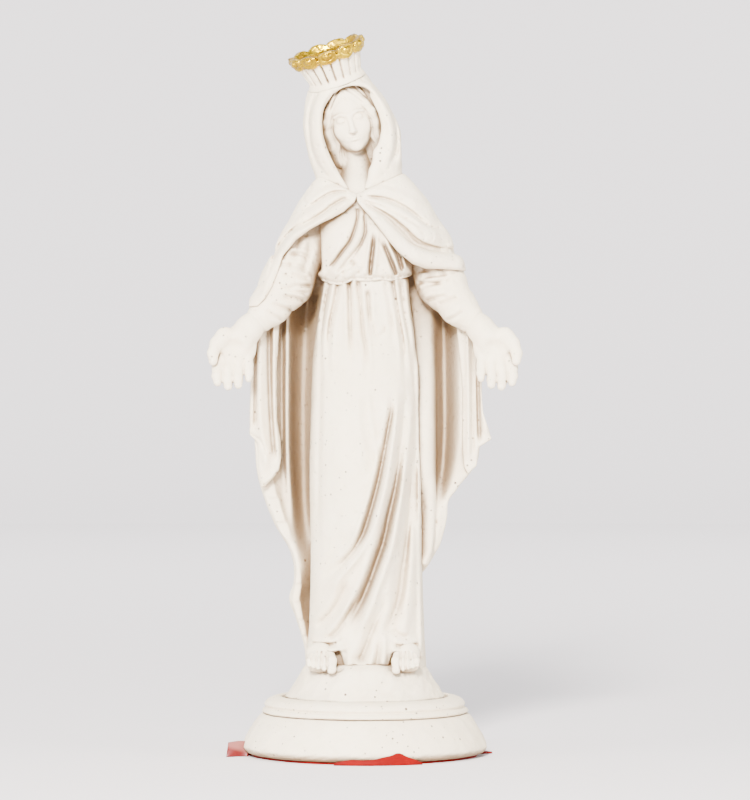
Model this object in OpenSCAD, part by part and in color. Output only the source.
// Standing madonna statuette in cast stone resin: a veiled and crowned figure with lowered open hands
// on a round stepped plinth. Millimetres, +Z up, the front of the figure faces -Y.
// The origin is the centre of the standing face under the plinth.

/* [Plinth] */
// Radius of the drum where it is widest
drum_r = 25.5; // [24:0.5:30]
// Height of the drum
drum_h = 8.3; // [7:0.1:12]
// Radius of the drum's top edge and of the collar above it
collar_r = 21.2; // [19:0.1:22]
// Height of the collar
collar_h = 3.0; // [2.5:0.1:5]
// Radius of the mound at its foot
mound_r = 16.7; // [16:0.1:18]
// Height of the mound, from the collar to the ground under the feet
mound_h = 6.2; // [5:0.1:9]
// Wall of the hollow casting under the drum
wall = 4.5; // [3:0.5:6]

/* [Figure] */
// Height of the figure from the ground to the tip of the crown
figure_h = 132.5; // [110:0.5:170]
// Lean of the crown to the figure's right
crown_lean = 17; // [0:1:22]
// Nod of the crown to the front
crown_nod = 9; // [0:1:14]

/* [Crown] */
// Radius of the crown's foot
crown_foot_r = 5.7; // [5:0.1:6]
// Height of the fluted band
band_h = 5.6; // [4:0.1:6.5]
// Radius of the gilded rim
rim_r = 8.1; // [7.5:0.1:8.6]
// Number of flutes
flute_count = 20; // [12:1:24]
// Number of leaves on the gilded rim
leaf_count = 11; // [8:1:14]

/* [Core] */
// Diameter of the steel tie rod
rod_d = 3.0; // [2.5:0.1:4]
// Diameter of the armature wire in each arm
wire_d = 1.2; // [0.8:0.1:1.6]

/* [Hidden] */

ground_z = drum_h + collar_h + mound_h;
drawn_figure_h = 132.5;
figure_k = figure_h / drawn_figure_h;
film_t = 0.4;
gap = 0.05;
rod_clearance = 0.05;
resin = [0.95, 0.93, 0.89];
gilt = [0.83, 0.62, 0.16];
steel = [0.62, 0.63, 0.65];
brass = [0.78, 0.62, 0.30];
red_film = [0.80, 0.08, 0.05];
ring_n = 48;

// Sides of the figure: its right is -X and its left is +X.
RIGHT = -1;
LEFT = 1;

// ---- Free-form helpers -------------------------------------------------------------------------

// Slope of a table of [x, value] pairs at entry i, flat at both ends.
function slope(t, i) =
    i == 0 || i == len(t) - 1 ? 0 : (t[i + 1][1] - t[i - 1][1]) / (t[i + 1][0] - t[i - 1][0]);

// Smooth value at x of a table of [x, value] pairs in rising x.
function at(x, t, i = 0) =
    x <= t[0][0] ? t[0][1] :
    x >= t[len(t) - 1][0] ? t[len(t) - 1][1] :
    x > t[i + 1][0] ? at(x, t, i + 1) :
    let (h = t[i + 1][0] - t[i][0], u = (x - t[i][0]) / h)
    (2 * u ^ 3 - 3 * u ^ 2 + 1) * t[i][1] + (u ^ 3 - 2 * u ^ 2 + u) * h * slope(t, i)
    + (3 * u ^ 2 - 2 * u ^ 3) * t[i + 1][1] + (u ^ 3 - u ^ 2) * h * slope(t, i + 1);

// Radius at angle a of an egg with half-width w, depth f to the front (-Y) and depth b to the back.
function egg(a, w, f, b) =
    let (d = sin(a) < 0 ? f : b) 1 / sqrt((cos(a) / w) ^ 2 + (sin(a) / d) ^ 2);

// Closed solid through a stack of flat rings, each listed anticlockwise from above.
module loft(rings) {
    n = len(rings[0]);
    m = len(rings);
    side_faces = [
        for (i = [0:m - 2]) for (j = [0:n - 1])
            let (k = (j + 1) % n) [i * n + j, (i + 1) * n + j, (i + 1) * n + k, i * n + k]
    ];
    polyhedron(
        [for (r = rings) for (p = r) p],
        concat([[for (j = [0:n - 1]) j]], side_faces, [[for (j = [n - 1:-1:0]) (m - 1) * n + j]]),
        convexity = 6
    );
}

// Resolves the booleans of free-form shapes as one mesh. Zeros leave the size as it is.
module one_mesh() {
    resize([0, 0, 0]) union() children();
}

// A limb from point to point, each given as [position, radius].
module limb(stations, fn = 16) {
    for (i = [0:len(stations) - 2]) hull() {
        translate(stations[i][0]) sphere(stations[i][1], $fn = fn);
        translate(stations[i + 1][0]) sphere(stations[i + 1][1], $fn = fn);
    }
}

// Places a shape that is drawn from the ground up onto the mound.
module on_ground() {
    translate([0, 0, ground_z]) scale(figure_k) children();
}

// ---- Plinth ------------------------------------------------------------------------------------

drum_round = 1.6;
drum_profile = [
    [drum_r - drum_round, film_t],
    [drum_r - 0.4, film_t + 0.5],
    [drum_r, film_t + drum_round],
    [drum_r - 0.25, film_t + 2.2],
    [collar_r + 0.7, drum_h - 1.2],
    [collar_r + 0.2, drum_h - 0.35],
    [collar_r - 0.6, drum_h]
];
cavity_top = drum_h - 2.8;

module base_drum() {
    color(resin) difference() {
        rotate_extrude($fn = 96) polygon(concat([[0, drum_h], [0, film_t]], drum_profile));
        translate([0, 0, film_t - 1]) cylinder(
            h = cavity_top - film_t + 1, r1 = drum_r - wall - 1, r2 = collar_r - wall, $fn = 96
        );
        rod_hole();
    }
}

collar_top = drum_h + collar_h;
spigot_r = 7;
spigot_clearance = 0.05;

module base_collar() {
    color(resin) rotate_extrude($fn = 96) polygon([
        [spigot_r + spigot_clearance, drum_h],
        [collar_r - 0.6, drum_h],
        [collar_r, drum_h + 0.5],
        [collar_r, drum_h + 1.7],
        [collar_r - 0.5, drum_h + 2.4],
        [collar_r - 1.6, collar_top - 0.2],
        [mound_r + 1.1, collar_top],
        [mound_r + 0.4, collar_top - 0.4],
        [spigot_r + spigot_clearance, collar_top - 0.4]
    ]);
}

module ground_mound() {
    color(resin) difference() {
        union() {
            rotate_extrude($fn = 96) polygon([
                [0, collar_top - 0.4],
                [mound_r, collar_top - 0.4],
                [mound_r, collar_top + 0.2],
                [mound_r - 1.3, collar_top + mound_h * 0.34],
                [mound_r - 3.1, collar_top + mound_h * 0.74],
                [mound_r - 4.1, collar_top + mound_h * 0.93],
                [mound_r - 5.2, ground_z],
                [0, ground_z]
            ]);
            translate([0, 0, drum_h]) cylinder(h = collar_h, r = spigot_r, $fn = 64);
        }
        rod_hole();
        on_ground() {
            foot_form(RIGHT);
            foot_form(LEFT);
        }
    }
}

// Film stuck over the open underside. Its edge was torn by hand, so tabs stand out past the drum
// and one strip is folded up against the front of the drum.
film_r = drum_r - 1.2;
flap_h = 2.2;

module underside_film() {
    color(red_film) {
        cylinder(h = film_t, r = film_r, $fn = 96);
        linear_extrude(film_t) polygon([
            [-film_r + 3, 2], [-film_r - 4.6, 2.5], [-film_r - 4.2, -3], [-film_r + 3, -6]
        ]);
        linear_extrude(film_t) polygon([
            [film_r - 3, 7], [film_r + 1.6, 5.5], [film_r + 1.4, 2], [film_r - 3, -1]
        ]);
        // The strip that is folded up.
        rotate([0, 0, 256]) rotate_extrude(angle = 41, $fn = 96) polygon([
            [film_r - 0.5, 0], [drum_r + gap + film_t, 0], [drum_r + gap + film_t, flap_h],
            [drum_r + gap, flap_h], [drum_r + gap, film_t], [film_r - 0.5, film_t]
        ]);
    }
}

// ---- Tie rod through the plinth ----------------------------------------------------------------

rod_top = ground_z + 42;
nut_h = 2.4;
nut_r = 3.2;
washer_r = 3.9;
washer_t = 0.8;

module rod_hole() {
    translate([0, 0, -1]) cylinder(h = rod_top + 1, d = rod_d + 2 * rod_clearance, $fn = 48);
}

module tie_rod() {
    color(steel) translate([0, 0, 1.4]) cylinder(h = rod_top - 1.4, d = rod_d, $fn = 48);
}

module tie_washer() {
    color(steel) translate([0, 0, cavity_top - washer_t]) difference() {
        cylinder(h = washer_t, r = washer_r, $fn = 48);
        translate([0, 0, -1]) cylinder(h = washer_t + 2, d = rod_d + 2 * rod_clearance, $fn = 48);
    }
}

module tie_nut() {
    color(steel) translate([0, 0, cavity_top - washer_t - nut_h]) difference() {
        cylinder(h = nut_h, r = nut_r, $fn = 6);
        translate([0, 0, -1]) cylinder(h = nut_h + 2, d = rod_d + 2 * rod_clearance, $fn = 48);
    }
}

// ---- Feet --------------------------------------------------------------------------------------

// One bare foot, set on the ground with its toes just past the hem.
module foot_form(side) {
    lead = side == RIGHT ? 0.8 : 0;
    translate([side * 8.4, -lead, 0]) {
        limb([[[0, -3, 3.2], 3.0], [[0, -8, 2.6], 2.8], [[0, -10.6, 1.5], 2.6]]);
        for (toe = [0:4]) {
            across = side * (-2.5 + 1.25 * toe);
            reach = toe == 0 ? -13.4 : -13.1 + 0.35 * toe;
            limb([[[across, -10.2, 1.3], 0.9], [[across, reach, 0.5], toe == 0 ? 0.95 : 0.68]], 10);
        }
    }
}

module foot(side) {
    color(resin) one_mesh() on_ground() difference() {
        foot_form(side);
        gown_skirt_form();
    }
}

// ---- Gown --------------------------------------------------------------------------------------

waist_h = 81;
skirt_half_w = [[0.4, 12.2], [12, 11.8], [33, 11.5], [52, 11.2], [67, 10.6], [81, 8.4]];
skirt_front = [[0.4, 10.2], [14, 9.6], [33, 11.0], [50, 10.6], [67, 9.4], [81, 7.6]];
skirt_back = [[0.4, 9.2], [33, 8.8], [60, 8.2], [81, 6.8]];
// Each fold is [angle at the hem, angle half way up, angle at the waist, depth, width], in degrees.
skirt_folds = [
    [236, 268, 286, -1.5, 5],
    [252, 296, 292, -2.0, 5],
    [262, 284, 278, 0.8, 7],
    [286, 308, 300, -1.3, 4.5],
    [300, 318, 310, 0.9, 5],
    [318, 326, 318, -1.2, 5],
    [228, 238, 250, 0.7, 10],
    [205, 206, 214, -0.9, 6],
    [60, 62, 66, -1.0, 7],
    [92, 90, 90, -1.1, 7],
    [124, 120, 116, -1.0, 7]
];

function fold_sum(a, t) = [
    for (f = skirt_folds)
        let (mid = at(t, [[0, f[0]], [0.5, f[1]], [1, f[2]]]))
        f[3] * exp(-((a - mid) / f[4]) ^ 2)
];
function total(v, i = 0) = i < len(v) ? v[i] + total(v, i + 1) : 0;

function skirt_ring(z) = [
    for (j = [0:ring_n - 1])
        let (
            a = 360 * j / ring_n,
            fade = min(1, (waist_h - z) / 12) * 0.8 + 0.2,
            r = egg(a, at(z, skirt_half_w), at(z, skirt_front), at(z, skirt_back))
                + fade * total(fold_sum(a, z / waist_h))
        )
        [r * cos(a), r * sin(a), z]
];

module gown_skirt_form() {
    loft([for (z = [0.4, 4, 9, 15, 22, 29, 36, 43, 50, 57, 64, 71, 76, waist_h]) skirt_ring(z)]);
}

module gown_skirt() {
    color(resin) difference() {
        one_mesh() on_ground() gown_skirt_form();
        rod_hole();
    }
}

bodice_top = 104;
bodice_half_w = [[81, 9.0], [84, 9.3], [90, 9.9], [96, 9.8], [100, 7.6], [104, 4.2]];
bodice_front = [[81, 7.9], [83, 8.9], [89, 9.4], [95, 7.8], [100, 5.6], [104, 4.0]];
bodice_back = [[81, 6.9], [90, 7.2], [96, 6.8], [104, 4.2]];

function bodice_ring(z) = [
    for (j = [0:ring_n - 1])
        let (
            a = 360 * j / ring_n,
            gather = z < 94 && sin(a) < 0 ? 0.35 * sin(a * 14) * (94 - z) / 13 : 0,
            r = egg(a, at(z, bodice_half_w), at(z, bodice_front), at(z, bodice_back)) + gather
        )
        [r * cos(a), r * sin(a), z]
];

module gown_bodice_form() {
    loft([for (z = [waist_h, 82.5, 86, 90, 94, 97, 99.5, 102, bodice_top]) bodice_ring(z)]);
}

module gown_bodice() {
    color(resin) difference() {
        one_mesh() on_ground() difference() {
            gown_bodice_form();
            arm_form(RIGHT);
            arm_form(LEFT);
            head_form();
        }
        neck_hole();
    }
}

// ---- Arms and hands ----------------------------------------------------------------------------

shoulder = [9.4, 0.5, 95.4];
upper_arm = [12.5, 0.1, 88.2];
elbow = [16.4, -1.2, 79.6];
wrist = [22.6, -5.4, 72.7];
palm = [27.3, -7.2, 67.6];

function mirrored(p, side) = [side * p[0], p[1], p[2]];

module arm_form(side) {
    limb([
        [mirrored(shoulder, side), 3.2],
        [mirrored(upper_arm, side), 3.9],
        [mirrored(elbow, side), 4.5],
        [mirrored(wrist, side), 2.7]
    ], 20);
}

module sleeve(side) {
    color(resin) one_mesh() on_ground() difference() {
        arm_form(side);
        hand_form(side);
        wire_form(side);
    }
}

module hand_form(side) {
    // Palm with its hollow to the front, from the cuff to the knuckles.
    limb([
        [mirrored(wrist, side) + [side * 0.9, -0.3, -0.8], 2.5],
        [mirrored(palm, side) + [side * -0.4, 0, 0.8], 3.1]
    ]);
    limb([
        [mirrored(palm, side) + [side * -1.9, 0.6, -1.0], 2.1],
        [mirrored(palm, side) + [side * 2.0, 0.6, -0.6], 2.1]
    ]);
    // Four fingers, the little finger nearest the body.
    for (finger = [0:3]) {
        across = side * (-2.7 + 1.75 * finger);
        tip = finger == 0 ? -7.0 : finger == 3 ? -8.0 : -8.7;
        limb([
            [mirrored(palm, side) + [across, 0.4, -1.8], 1.25],
            [mirrored(palm, side) + [across + side * 0.6, -1.0, tip * 0.6], 1.1],
            [mirrored(palm, side) + [across + side * 0.9, -2.6, tip], 0.8]
        ], 10);
    }
    // Thumb on the outer side.
    limb([
        [mirrored(palm, side) + [side * 1.2, -1.0, 2.2], 1.6],
        [mirrored(palm, side) + [side * 4.0, -2.2, -0.6], 1.2],
        [mirrored(palm, side) + [side * 4.1, -3.1, -3.8], 0.9]
    ], 10);
}

module hand(side) {
    color(resin) one_mesh() on_ground() difference() {
        hand_form(side);
        wire_form(side);
    }
}

module wire_form(side) {
    limb([
        [mirrored(shoulder, side) + [side * -1, 0, 0], wire_d / 2],
        [mirrored(elbow, side), wire_d / 2],
        [mirrored(wrist, side), wire_d / 2],
        [mirrored(palm, side), wire_d / 2]
    ], 8);
}

module arm_wire(side) {
    color(steel) one_mesh() on_ground() wire_form(side);
}

// ---- Mantle ------------------------------------------------------------------------------------

// Outline of the mantle seen from the front, as [height, distance from the middle].
mantle_right_w = [
    [1.5, 12.0], [5, 12.8], [9, 14.0], [14, 15.6], [20, 14.6], [25, 15.8], [32, 19.6], [38, 21.6],
    [46, 22.4], [49, 24.2], [58, 24.4], [70, 23.6], [76, 22.2], [83, 20.0], [91, 17.0], [98, 13.4],
    [103, 9.4]
];
mantle_left_w = [
    [1.5, 11.6], [10, 11.8], [20, 12.3], [25, 14.6], [29, 17.2], [35, 17.4], [38, 19.6], [41, 22.8],
    [46, 24.2], [49, 26.4], [58, 26.0], [70, 24.2], [76, 22.2], [83, 20.3], [88, 17.3], [96, 14.0],
    [103, 8.8]
];
mantle_back_y = [[1.5, 11.0], [20, 12.0], [45, 12.8], [70, 12.6], [88, 11.8], [96, 10.6], [103, 8.6]];
mantle_end_y = [[1.5, 3.0], [25, 0.4], [50, -1.4], [75, -0.6], [103, 0.0]];
mantle_top = 103;

function mantle_ring(z) =
    let (
        xr = -at(z, mantle_right_w),
        xl = at(z, mantle_left_w),
        mid = (xl + xr) / 2,
        half = (xl - xr) / 2,
        end_y = at(z, mantle_end_y),
        deep = at(z, mantle_back_y) - end_y
    )
    concat(
        [
            for (j = [0:22])
                let (a = 180 * j / 22, ripple = 1 + 0.045 * sin(a * 11) * min(1, (mantle_top - z) / 15))
                [mid + half * cos(a), end_y + deep * sin(a) ^ 0.75 * ripple, z]
        ],
        [
            for (j = [1:9])
                let (s = j / 10, floor_y = 3.6 * min(1, 5 * s * (1 - s)))
                [xr + (xl - xr) * s, end_y + floor_y, z]
        ]
    );

module mantle_form() {
    loft([
        for (z = [1.5, 5, 10, 15, 20, 25, 31, 37, 43, 49, 56, 64, 72, 80, 87, 93, 98, mantle_top])
            mantle_ring(z)
    ]);
}

// Draws a shape made for the figure's left, on either side.
module on_side(side) {
    mirror([side == RIGHT ? 1 : 0, 0, 0]) children();
}

// Pleated falls that hang from each forearm in front of the mantle's edge.
fall_low = 33;
fall_top = 72;

module fall_form(side) {
    edge = side == RIGHT ? mantle_right_w : mantle_left_w;
    on_side(side) loft([
        for (z = [fall_low, 36, 40, 45, 49, 54, 60, 66, fall_top])
            let (
                outer_x = at(z, edge) + 0.3,
                inner_x = outer_x - at(z, [[fall_low, 1.5], [47, 6.2], [fall_top, 6.6]]),
                end_y = at(z, mantle_end_y)
            )
            [
                for (j = [0:23])
                    let (a = 360 * j / 24, pleat = sin(a) < 0 ? 0.6 * cos(5 * a + 90) : 0)
                    [
                        (outer_x + inner_x) / 2 + (outer_x - inner_x) / 2 * cos(a),
                        end_y + 0.2 + (1.9 + pleat) * sin(a),
                        z
                    ]
            ]
    ]);
}

module mantle_fall(side) {
    color(resin) one_mesh() on_ground() difference() {
        fall_form(side);
        arm_form(side);
        hand_form(side);
    }
}

module mantle_back() {
    color(resin) one_mesh() on_ground() difference() {
        mantle_form();
        gown_skirt_form();
        gown_bodice_form();
        arm_form(RIGHT);
        arm_form(LEFT);
        hand_form(RIGHT);
        hand_form(LEFT);
        fall_form(RIGHT);
        fall_form(LEFT);
    }
}

// The mantle's short cape over the shoulders, which meets at a gather below the neck.
cape_right_w = [[73, 22.6], [78, 21.6], [85, 19.4], [92, 16.7], [98, 13.6], [101, 11.4], [104, 8.6]];
cape_left_w = [[73, 21.8], [78, 21.9], [84, 20.3], [88, 17.3], [96, 14.2], [100, 11.6], [104, 8.2]];
cape_front = [[73, 8.5], [80, 9.2], [88, 10.6], [94, 9.6], [98, 8.4], [101, 6.8], [104, 5.2]];
cape_back = [[73, 12.9], [85, 12.4], [95, 10.8], [100, 9.4], [104, 8.2]];
meeting_x = -1.7;
meeting_z = 98.1;

module shoulders_form() {
    loft([
        for (z = [76, 80, 84, 88, 92, 96, 99, 102, 104])
            let (right_w = at(z, cape_right_w), left_w = at(z, cape_left_w))
            [
                for (j = [0:ring_n - 1])
                    let (
                        a = 360 * j / ring_n,
                        w = cos(a) > 0 ? left_w : right_w,
                        d = sin(a) < 0 ? at(z, cape_front) : at(z, cape_back),
                        fold = 1 + 0.02 * sin(a * 9) * min(1, (104 - z) / 8)
                    )
                    [
                        w * sign(cos(a)) * abs(cos(a)) ^ 0.85 * fold,
                        d * sign(sin(a)) * abs(sin(a)) ^ 0.85 * fold,
                        z
                    ]
            ]
    ]);
}

// The part of the shoulders each half of the cape covers, seen from the front.
module cape_reach(side) {
    translate([0, 1.6, 0]) rotate([90, 0, 0]) linear_extrude(32) polygon(
        side == RIGHT ? [
            [meeting_x, 110], [-40, 110], [-40, 82], [-18.4, 82.4], [-17.3, 86], [-14.7, 89.4],
            [-11.3, 91.6], [-8.8, 93.2], [-5.6, 95.4], [meeting_x, meeting_z - 0.6]
        ] : [
            [meeting_x, 110], [meeting_x, meeting_z - 0.6], [0.6, 94.4], [4.2, 89.9], [8.4, 86.2],
            [12.5, 84.2], [17.1, 83.8], [24, 83.2], [40, 83], [40, 110]
        ]
    );
}

module cape(side) {
    color(resin) one_mesh() on_ground() difference() {
        intersection() {
            shoulders_form();
            cape_reach(side);
        }
        gown_bodice_form();
        arm_form(side);
        mantle_form();
        head_form();
    }
}

// ---- Head, veil and crown ----------------------------------------------------------------------

head_centre = [-3.3, -1.9, 115.4];
head_lean = 15;
head_nod = 8;
head_k = 0.88;

module at_head() {
    translate(head_centre) rotate([head_nod, -head_lean, 0]) scale(head_k) children();
}

module head_form() {
    at_head() {
        hull() {
            translate([0, 1.2, 2.6]) scale([5.7, 6.4, 6.0]) sphere(1, $fn = 28);
            translate([0, -2.4, -4.0]) scale([3.9, 3.7, 3.8]) sphere(1, $fn = 24);
            translate([0, -4.0, -6.2]) scale([2.3, 2.0, 1.9]) sphere(1, $fn = 24);
        }
        // Brow, nose, lips and chin.
        hull() {
            translate([0, -5.1, 1.4]) scale([0.7, 0.6, 0.7]) sphere(1, $fn = 14);
            translate([0, -6.9, -2.2]) scale([1.0, 0.9, 0.6]) sphere(1, $fn = 14);
        }
        hull() {
            translate([-1.9, -5.0, 1.5]) sphere(0.7, $fn = 12);
            translate([1.9, -5.0, 1.5]) sphere(0.7, $fn = 12);
        }
        translate([0, -5.6, -4.1]) scale([1.4, 0.7, 0.5]) sphere(1, $fn = 16);
        translate([0, -5.4, -6.4]) scale([1.5, 1.0, 1.1]) sphere(1, $fn = 16);
    }
    // Neck down into the gown.
    limb([[[-2.3, -0.2, 110.5], 2.9], [[-1.6, -0.4, 105], 3.1], [[-0.9, 0, 98], 4.0]], 20);
}

module neck_hole() {
    translate([-1.4 * figure_k, 0, ground_z + 91 * figure_k])
        cylinder(h = 21 * figure_k, r = 1.25 + rod_clearance, $fn = 32);
}

module neck_dowel() {
    color(brass) translate([-1.4 * figure_k, 0, ground_z + 91.4 * figure_k])
        cylinder(h = 20 * figure_k, r = 1.25, $fn = 32);
}

module head() {
    color(resin) difference() {
        one_mesh() on_ground() head_form();
        neck_hole();
        pin_hole();
    }
}

// Each entry is [height, middle, half-width, depth to the front, depth to the back].
veil_rings = [
    [101.0, -0.8, 9.2, 6.0, 9.0], [105.0, -1.7, 9.4, 6.8, 8.9], [109.0, -2.3, 9.8, 7.6, 8.6],
    [113.0, -2.8, 9.9, 8.2, 8.4], [117.0, -3.6, 9.0, 8.6, 7.8], [120.0, -4.2, 8.0, 8.5, 6.6],
    [122.5, -4.9, 6.5, 7.8, 4.8], [124.8, -4.6, 4.4, 6.0, 2.4]
];

module veil_form() {
    loft([
        for (r = veil_rings) [
            for (j = [0:ring_n - 1])
                let (a = 360 * j / ring_n, d = egg(a, r[2], r[3], r[4]) + 0.12 * sin(a * 12))
                [r[1] + d * cos(a), d * sin(a), r[0]]
        ]
    ]);
}

// The tall opening of the veil around the face and neck.
module veil_opening() {
    hull() {
        translate([-3.6, -2.0, 115.6]) rotate([90, 0, 0]) cylinder(h = 20, r = 5.9, $fn = 36);
        translate([-1.2, -2.0, 103.6]) rotate([90, 0, 0]) cylinder(h = 20, r = 4.0, $fn = 36);
        translate([-1.6, -2.0, 97.0]) rotate([90, 0, 0]) cylinder(h = 20, r = 0.8, $fn = 36);
    }
}

module veil() {
    color(resin) difference() {
        one_mesh() on_ground() difference() {
            veil_form();
            veil_opening();
            head_form();
            gown_bodice_form();
            shoulders_form();
            mantle_form();
            crown_seat();
        }
        pin_hole();
    }
}

crown_foot = [-6.1, -2.6, 122.7];
crown_floor = 1.2;
crown_wall = 1.3;
rim_h = 3.0;
pin_r = 0.75;
pin_down = 5;

module at_crown() {
    translate([0, 0, ground_z]) translate(crown_foot * figure_k)
        rotate([crown_nod, -crown_lean, 0]) children();
}

module crown_seat() {
    translate(crown_foot) rotate([crown_nod, -crown_lean, 0]) cylinder(h = 8, r = crown_foot_r + 0.3, $fn = 48);
}

module pin_hole() {
    at_crown() translate([0, 0, -pin_down - 0.3])
        cylinder(h = pin_down + 4, r = pin_r + rod_clearance, $fn = 24);
}

module crown_pin() {
    color(brass) at_crown() translate([0, 0, -pin_down]) cylinder(h = pin_down + crown_floor, r = pin_r, $fn = 24);
}

module crown_band() {
    color(resin) difference() {
        one_mesh() at_crown() difference() {
            union() {
                cylinder(h = 0.9, r = crown_foot_r + 0.25, $fn = 48);
                loft([
                    for (z = [0.2, 0.8, 1.5, 3.0, 4.6, band_h])
                        [
                            for (j = [0:flute_count * 4 - 1])
                                let (
                                    a = 90 * j / flute_count,
                                    flute = z < 1 ? 0 : 0.22 * cos(flute_count * a),
                                    r = crown_foot_r + (rim_r - 1.4 - crown_foot_r) * z / band_h + flute
                                )
                                [r * cos(a), r * sin(a), z]
                        ]
                ]);
            }
            translate([0, 0, crown_floor])
                cylinder(h = band_h, r1 = crown_foot_r - crown_wall, r2 = rim_r - 1.4 - crown_wall, $fn = 48);
        }
        pin_hole();
    }
}

// Gilded rim: a ring that sits on the band, with a leaf at every place round it.
module crown_rim() {
    inner_r = rim_r - 1.4 - crown_wall;
    color(gilt) one_mesh() at_crown() translate([0, 0, band_h]) {
        rotate_extrude($fn = 48) polygon([
            [inner_r, 0], [rim_r - 0.9, 0], [rim_r - 0.4, 0.5], [rim_r - 0.5, 1.2],
            [rim_r - 0.9, 1.7], [inner_r + 0.3, 1.7]
        ]);
        for (k = [0:leaf_count - 1]) rotate([0, 0, 360 * (k + 0.5) / leaf_count]) hull() {
            translate([rim_r - 1.4, 0, 1.1]) scale([0.9, 2.2, 0.9]) sphere(1, $fn = 12);
            translate([rim_r - 0.8, 0, rim_h - 0.9]) scale([0.8, 1.7, 0.8]) sphere(1, $fn = 12);
        }
    }
}

// ---- The statuette -----------------------------------------------------------------------------

underside_film();
base_drum();
base_collar();
ground_mound();
tie_rod();
tie_nut();
tie_washer();
foot(RIGHT);  // foot_right
foot(LEFT);  // foot_left
gown_skirt();
gown_bodice();
mantle_back();
mantle_fall(RIGHT);  // mantle_fall_right
mantle_fall(LEFT);  // mantle_fall_left
cape(RIGHT);  // cape_right
cape(LEFT);  // cape_left
sleeve(RIGHT);  // sleeve_right
sleeve(LEFT);  // sleeve_left
arm_wire(RIGHT);  // arm_wire_right
arm_wire(LEFT);  // arm_wire_left
hand(RIGHT);  // hand_right
hand(LEFT);  // hand_left
head();
neck_dowel();
veil();
crown_band();
crown_rim();
crown_pin();
